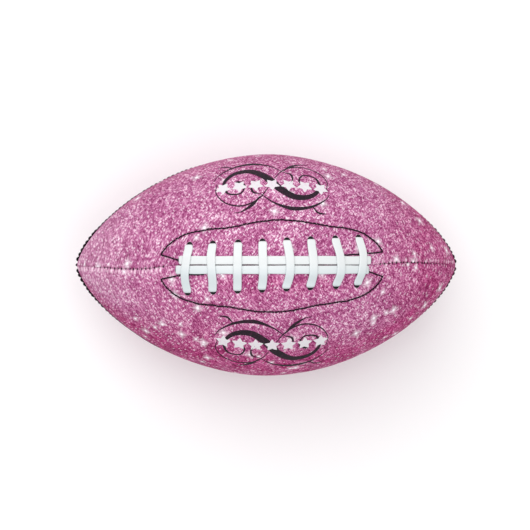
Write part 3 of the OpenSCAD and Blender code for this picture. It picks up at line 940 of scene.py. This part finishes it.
def wing_stitches(word, side):
    line, length = wing_line(side)
    rng = random.Random(20 + side)
    parts = []
    for n in range(int(length[-1] / WING_PITCH)):
        start = n * WING_PITCH + 0.15 + rng.uniform(-0.06, 0.06)
        s = np.linspace(start, start + WING_PITCH - WING_GAP, 11)
        t = np.linspace(-1, 1, 11)
        x, q = (np.interp(s, length, values) for values in line.T)
        q = q + rng.uniform(-0.12, 0.12) + 0.16 * t * rng.uniform(-1, 1)
        h = 0.24 - 0.5 * np.abs(t) ** 5
        parts.append(stitch(on_ball(x, side * q, h), WING_THREAD_R, 10))
    piece(word + "_wing_stitches", join(parts), [THREAD], "black_thread",
          word + "_reinforcement_thread")


seam_stitches("lace", 0.0, LACE_SEAM)
seam_stitches("left", QUARTER, LEFT_SEAM)
seam_stitches("bottom", 2 * QUARTER, BOTTOM_SEAM)
seam_stitches("right", -QUARTER, RIGHT_SEAM)
wing_stitches("left", 1)
wing_stitches("right", -1)


# ---- the lace ----

RAIL_H = LACE_T / 2 + 0.2
BAR_H = RAIL_H + LACE_T + 0.12
FLAT_H = LACE_T / 2 + 0.15
TOP_Q = 5.4                # where a strap is fully up on a rail
UNDER_RUN_H = -5.4
UNDER_LACE_T = 1.3
NEAR_SIDE = 0.65           # a strap leans on the near side of its hole
RAIL_FAR = 0.3             # but the rails' ends cover theirs
TAIL_LEN = 12.0


# Up through a hole, over its edge and flat towards the slit: distance past the foot, h, w, t
RISE = [(0.2, UNDER_RUN_H + 0.2, 3.6, 1.4), (0, -4.4, 3.1, 1.7), (0.05, -0.9, 3.1, 1.7),
        (0.08, 0.05, 4.1, 1.7), (-0.12, 0.62, 5.5, 1.6), (-0.65, 0.95, 6.0, 1.55),
        (-1.8, FLAT_H + 0.02, LACE_W, LACE_T)]
# How much of its sideways shift a cross strap keeps at each of those
SHIFT = (0, 0.1, 0.85, 1, 1, 1, 1)


def foot(i, side):
    x = bar_x(i)
    return x, side * (hole_q(x, side) - NEAR_SIDE)


def bar_way(i, q):
    """How far a cross strap runs beside its holes' line."""
    ends = [foot(i, side)[1] for side in (1, -1)]
    curve = np.polyfit([ends[0] - 2, 10, 0, -10, ends[1] + 2], BAR_WAY[i], 3)
    return np.polyval(curve, np.clip(q, ends[1] + 1, ends[0] - 1))


def half_bar(i, side):
    x, q = foot(i, side)
    stops = []
    for (p, h, w, t), shift in zip(RISE, SHIFT):
        stops.append((x + shift * bar_way(i, q + side * p), q + side * p, h, w, t, 0))
    flat = abs(stops[-1][1])
    for t in (0.25, 0.45, 0.65, 0.85, 1, 1.4):
        p = flat + (TOP_Q - flat) * t
        h = FLAT_H + (BAR_H - FLAT_H) * smooth(t)
        stops.append((x + bar_way(i, side * p), side * p, h, LACE_W, LACE_T, 0))
    return stops


def bar(i):
    over = [(bar_x(i) + bar_way(i, 0), 0, BAR_H, LACE_W, LACE_T, 0)]
    return half_bar(i, -1) + over + half_bar(i, 1)[::-1]


def under(x, q, width, lie=0):
    """A stop of the strap inside the ball."""
    return x, q, UNDER_RUN_H, width, UNDER_LACE_T, lie


def under_run(start, end):
    stops = []
    for t, w in ((0.08, 4.2), (0.25, 5.6), (0.5, 5.6), (0.75, 5.6), (0.92, 4.2)):
        x, q = (a + (b - a) * t for a, b in zip(start, end))
        stops.append(under(x, q, w))
    return stops


def rail(side, start):
    def end(way):
        foot_x = rail_hole_x(side, way) + way * RAIL_FAR
        return [(foot_x + way * p, side * RAIL_Q, h, w, t, 90) for p, h, w, t in RISE]
    run = []
    for x in np.linspace(start, -start, 15) * (RAIL_HOLE_X - 8):
        sway = 0.16 * wave(x / 50, 90) - 0.05
        run.append((x, side * (RAIL_Q + sway), RAIL_H, LACE_W, LACE_T, 90))
    return end(start) + run + end(-start)[::-1]


def lace_stops():
    last = LACE_COUNT - 1
    stops = [under(RAIL_HOLE_X + TAIL_LEN, 5.4, 5.4, 90), under(RAIL_HOLE_X + 3, 4.4, 4.6, 90)]
    stops += rail(1, 1)
    stops += [under(rail_hole_x(side, -1), 1.6 * side, 4) for side in (1, -1)]
    stops += rail(-1, -1)
    stops += under_run((rail_hole_x(-1, 1), -RAIL_Q), foot(last, -1))
    for i in range(last, -1, -1):
        stops += bar(i)
        if i:
            stops += under_run(foot(i, 1), foot(i - 1, -1))
    x, q = foot(0, 1)
    stops += [under(x, q - 3, 4.6), under(x - 1, q - TAIL_LEN, 5.4)]
    return np.array(stops, float)


def flowing(stops, step=0.7):
    """A smooth curve through stops (x, q, h, ...), at an even step in mm."""
    knots = distances(stops[:, :3], 0.5)
    slope = np.gradient(stops, knots, axis=0)
    rows = []
    for i in range(len(stops) - 1):
        a, b = stops[i], stops[i + 1]
        steps = max(3, int(np.linalg.norm(b[:3] - a[:3]) / step) + 1)
        limit = 1.6 * np.abs(b - a) + 1e-6      # no swinging past a stop
        slopes = np.clip(slope[i:i + 2] * (knots[i + 1] - knots[i]), -limit, limit)
        rows.append(between(a, b, *slopes, np.linspace(0, 1, steps)[:-1, None]))
    return np.concatenate(rows + [stops[-1:]])


def strap_section(width, thick):
    """A flat strap's outline with soft edges and slightly dished faces."""
    t = circle(24) + math.pi / 24
    c, s = np.cos(t), np.sin(t)
    x = np.sign(c) * np.abs(c) ** 0.42 * width / 2
    y = np.sign(s) * np.abs(s) ** 0.62 * thick / 2
    dish = 0.06 * np.clip(1 - (2 * x / width) ** 2, 0, 1) * np.sign(s)
    return np.stack([x, y - dish], 1)


def lace():
    way = flowing(lace_stops())
    x, q, h, width, thick, lie = way.T
    # a hand-pulled strap: its edges wander a little
    width = width * (1 + 0.02 * wave(np.arange(len(way)) / 31, 61))
    path = on_ball(x, q, h)
    along_x = unit(on_ball(x + 0.5, q, h) - on_ball(x - 0.5, q, h))
    along_q = unit(on_ball(x, q + 0.5, h) - on_ball(x, q - 0.5, h))
    turn = np.radians(lie)[:, None]
    lie_way = np.cos(turn) * along_x + np.sin(turn) * along_q
    along = unit(np.gradient(path, axis=0))
    side = unit(lie_way - (lie_way * along).sum(1, keepdims=True) * along)
    shape = sweep(path, along, side, lambda i: strap_section(width[i], thick[i]))
    piece("white_lace", shape, [LACE], "white_lace", "lace")


lace()


# ---- the printed decor: stars over a flourish, in the middle of each upper panel ----

INK_H = 0.05               # the ink's height over the cover
INK_T = 0.1
STAR_H = INK_H + 0.05
STAR_COUNT = 7
STAR_PITCH = 11.9
STAR_R = 5.8
STAR_V = -2.5
POINT_W = 0.04             # how far in a star's edge is rounded, as a share of its size

# Half of the flourish as strokes of (u, v, width); the other half is the same, turned half round
FLOURISH = [
    [(-3, -3, 4.0), (5, 6, 4.4), (16, 13, 3.8), (28, 11, 2.8), (35, 2, 1.9), (32, -8, 1.2),
     (23, -9, 1.0), (20, -2, 1.0), (25, 2, 1.9), (27, 0, 0.4)],
    [(-9, 11, 0.3), (1, 19, 1.0), (14, 23, 2.4), (28, 20, 1.5), (39, 12, 0.5), (42, 7, 0.3)],
    [(2, -4, 0.3), (10, -15, 0.7), (22, -20, 0.9), (34, -16, 0.7), (41, -6, 0.5), (40, 3, 0.3)],
    [(9, -13, 0.3), (15, -20, 1.9), (24, -25, 0.5), (28, -25, 0.3)],
    [(12, 3, 0.3), (15, -3, 0.7), (14, -9, 1.3), (9, -11, 0.3)],
    [(29, 20, 0.3), (33, 24, 1.3), (39, 24, 0.3)],
]


def printed(panel, u, v, h):
    """A place of the decor: u along the panel, v from its middle and away from the laces."""
    w = station_at(-panel.side * u)
    q = PANEL_WIDTH * share(w) / 2 + v
    return skin(w, panel.angle(w, q), panel.height(w, q, edge=False) + h)


def curve(points, count):
    """A smooth curve through points of the decor."""
    knots = distances(points[:, :2], 0.5)
    slope = np.gradient(points, knots, axis=0)
    rows = []
    for at in np.linspace(0, knots[-1], count):
        i = min(np.searchsorted(knots, at, side="right") - 1, len(points) - 2)
        span = knots[i + 1] - knots[i]
        rows.append(between(*points[i:i + 2], *slope[i:i + 2] * span, (at - knots[i]) / span))
    return np.array(rows)


def pen_stroke(panel, points, lift):
    """A pen stroke through points (u, v, width), as a thin solid ribbon on the cover."""
    line = curve(np.array(points, float), 24 * len(points))
    along = unit(np.gradient(line[:, :2], axis=0))
    across = np.stack([-along[:, 1], along[:, 0]], 1)
    half = 0.12 + line[:, 2:] * (0.5 + 0.035 * line[:, 2:])
    top, low = INK_H + lift, INK_H + lift - INK_T
    edges = []
    for offset, h in ((-1, low), (-1, top - 0.02), (-0.9, top), (-0.3, top), (0.3, top),
                      (0.9, top), (1, top - 0.02), (1, low)):
        u, v = (line[:, :2] + offset * half * across).T
        edges.append(printed(panel, u, v, h))
    return solid(np.stack(edges, 1))


def star(panel, u, turn):
    """A five-pointed star on the cover, as a thin solid."""
    t = circle(40)
    spike = np.abs(((t * 5 / math.pi + 1) % 2) - 1)     # 0 at a point of the star, 1 between points
    edge = STAR_R / (1 + 0.85 * spike)
    x, y = edge * np.sin(t + turn), -edge * np.cos(t + turn)
    rings = []
    for size, h in ((0.5, 0), (1 - POINT_W, 0), (1, -0.02), (1, -INK_T), (0, 0)):
        rings.append(printed(panel, u + size * x, STAR_V + size * y, STAR_H + h))
    n = len(t)
    rings[-1] = rings[-1][:1]
    *sides, _, under = ring_faces(len(rings) - 1, n)
    top = [[(len(rings) - 1) * n, (j + 1) % n, j] for j in range(n)]
    return np.concatenate(rings), sides + top + [under]


def decor(panel):
    """Stars over a flourish, with their tops towards the laces."""
    strokes = FLOURISH + [[(-u, -v, width) for u, v, width in stroke] for stroke in FLOURISH]
    ribbons = [pen_stroke(panel, stroke, 0.004 * i) for i, stroke in enumerate(strokes)]
    if panel.side > 0:
        ribbons = [(points, [face[::-1] for face in faces]) for points, faces in ribbons]
    piece(panel.corner + "_flourish", join(ribbons), [BLACK_INK], "black_ink")
    rng = random.Random(panel.seed)
    stars = []
    for i in range(STAR_COUNT):
        u = (i - (STAR_COUNT - 1) / 2) * STAR_PITCH
        stars.append(star(panel, u, rng.uniform(-0.05, 0.05)))
    piece(panel.corner + "_stars", join(stars), [WHITE_INK], "white_ink")


for panel in PANELS[:2]:
    decor(panel)


# ---- the valve ----

NECK_R = 3.0
CORE_R = 2.1
NEEDLE_R = 1.05
MOUTH_D = 0.4
CORE_MOUTH_D = 1.4
NEEDLE_DEPTH = 7.0
FLANGE_R = 10.0
STEM_R = 4.6
STEM_END_D = 17.0
STEM_FLOOR = 1.5
VENT_R = 0.6


def lathe(profile):
    """A solid of revolution on the valve's axis, from a closed profile of (radius, depth)."""
    out = np.array([0, math.sin(VALVE_ANGLE), math.cos(VALVE_ANGLE)])
    across = np.array([1.0, 0, 0])
    surface = np.linalg.norm(skin(0.0, VALVE_ANGLE))
    n, sides = len(profile), 72
    t = circle(sides)[:, None]
    ring = np.cos(t) * across + np.sin(t) * np.cross(out, across)
    points = [ring * r + out * (surface - d) for r, d in profile]
    faces = []
    for i in range(n):
        for j in range(sides):
            k = (j + 1) % sides
            m = (i + 1) % n
            faces.append([i * sides + j, m * sides + j, m * sides + k, i * sides + k])
    return np.concatenate(points), faces


def eased(profile, ease):
    """A closed profile with its corners cut back a little, twice over."""
    for share_back in (ease, ease * 0.45):
        rounded = []
        for i, here in enumerate(profile):
            for other in (profile[i - 1], profile[(i + 1) % len(profile)]):
                gap = math.dist(here, other)
                t = min(share_back / gap, 0.45)
                rounded.append(tuple(a + (b - a) * t for a, b in zip(here, other)))
        profile = rounded
    return profile


def valve():
    bore = CORE_R + 0.05
    floor = STEM_END_D - STEM_FLOOR
    housing = [(VENT_R, STEM_END_D), (STEM_R, STEM_END_D), (STEM_R, 7.4), (FLANGE_R, 7.4),
               (FLANGE_R, 6.2), (NECK_R, 6.2), (NECK_R, MOUTH_D), (bore, MOUTH_D), (bore, floor),
               (VENT_R, floor)]
    piece("valve_housing_rubber", lathe(eased(housing, 0.22)), [VALVE_RUBBER], "valve_rubber",
          "valve_housing")
    bottom = CORE_MOUTH_D + NEEDLE_DEPTH
    core = [(0.01, floor), (CORE_R, floor), (CORE_R, CORE_MOUTH_D), (NEEDLE_R, CORE_MOUTH_D),
            (NEEDLE_R, bottom), (0.01, bottom)]
    piece("valve_core_rubber", lathe(eased(core, 0.18)), [CORE_RUBBER], "core_rubber", "valve_core")


valve()


# ---- inside: CAD pieces keep their shapes ----

def dress(node, material):
    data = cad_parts[node].data
    data.materials.clear()
    data.materials.append(material)


for panel in PANELS:
    dress(panel.corner + "_lining", LINING_CLOTH)
for node in ("left_lace_reinforcement", "right_lace_reinforcement", "lace_tongue"):
    dress(node, WING_CLOTH)
dress("bladder", BLADDER_RUBBER)


# ---- stage ----

def stage():
    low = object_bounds()[0].z
    mesh = bpy.data.meshes.new("floor")
    half = 4.0
    corners = [(-half, -half, low), (half, -half, low), (half, half, low), (-half, half, low)]
    mesh.from_pydata(corners, [], [(0, 1, 2, 3)])
    shader = Shader("pale_floor", Roughness=0.9, Specular_IOR_Level=0.0)
    shader.colour((0.97, 0.97, 0.97, 1))
    mesh.materials.append(shader.material)
    floor = placed("floor", mesh)
    floor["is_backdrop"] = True


def softbox(name, place, size, watts):
    data = bpy.data.lights.new(name, "AREA")
    data.shape = "DISK"
    data.size = size
    data.energy = watts
    obj = placed(name, data)
    obj.location = place
    obj.rotation_euler = (-Vector(place)).to_track_quat("-Z", "Y").to_euler()


def lights():
    world = bpy.data.worlds.new("studio")
    world.use_nodes = True
    sky = world.node_tree.nodes["Background"]
    sky.inputs["Color"].default_value = (1, 1, 1, 1)
    sky.inputs["Strength"].default_value = 0.64
    bpy.context.scene.world = world
    softbox("key", (-0.6, 0.85, 1.55), 2.3, 19)
    softbox("fill", (0.25, -0.2, 1.9), 1.8, 11.5)
    bpy.context.scene.view_settings.view_transform = "Standard"


def camera():
    """Straight down on the laces, a little towards the left-hand nose and aimed beside it."""
    distance = 1.6
    yaw = math.radians(3.27)
    frame_width = 0.3986
    aside = 0.00164
    data = bpy.data.cameras.new("camera")
    data.sensor_width = 36
    data.lens = data.sensor_width * distance / frame_width
    obj = placed("camera", data)
    place = Vector((-math.sin(yaw), 0, math.cos(yaw))) * distance
    back = place.normalized()
    right = Vector((0, 1, 0)).cross(back).normalized()
    turn = Matrix((right, back.cross(right), back)).transposed()
    obj.matrix_world = Matrix.Translation(place - aside * right) @ turn.to_4x4()
    bpy.context.scene.camera = obj


stage()
lights()
camera()
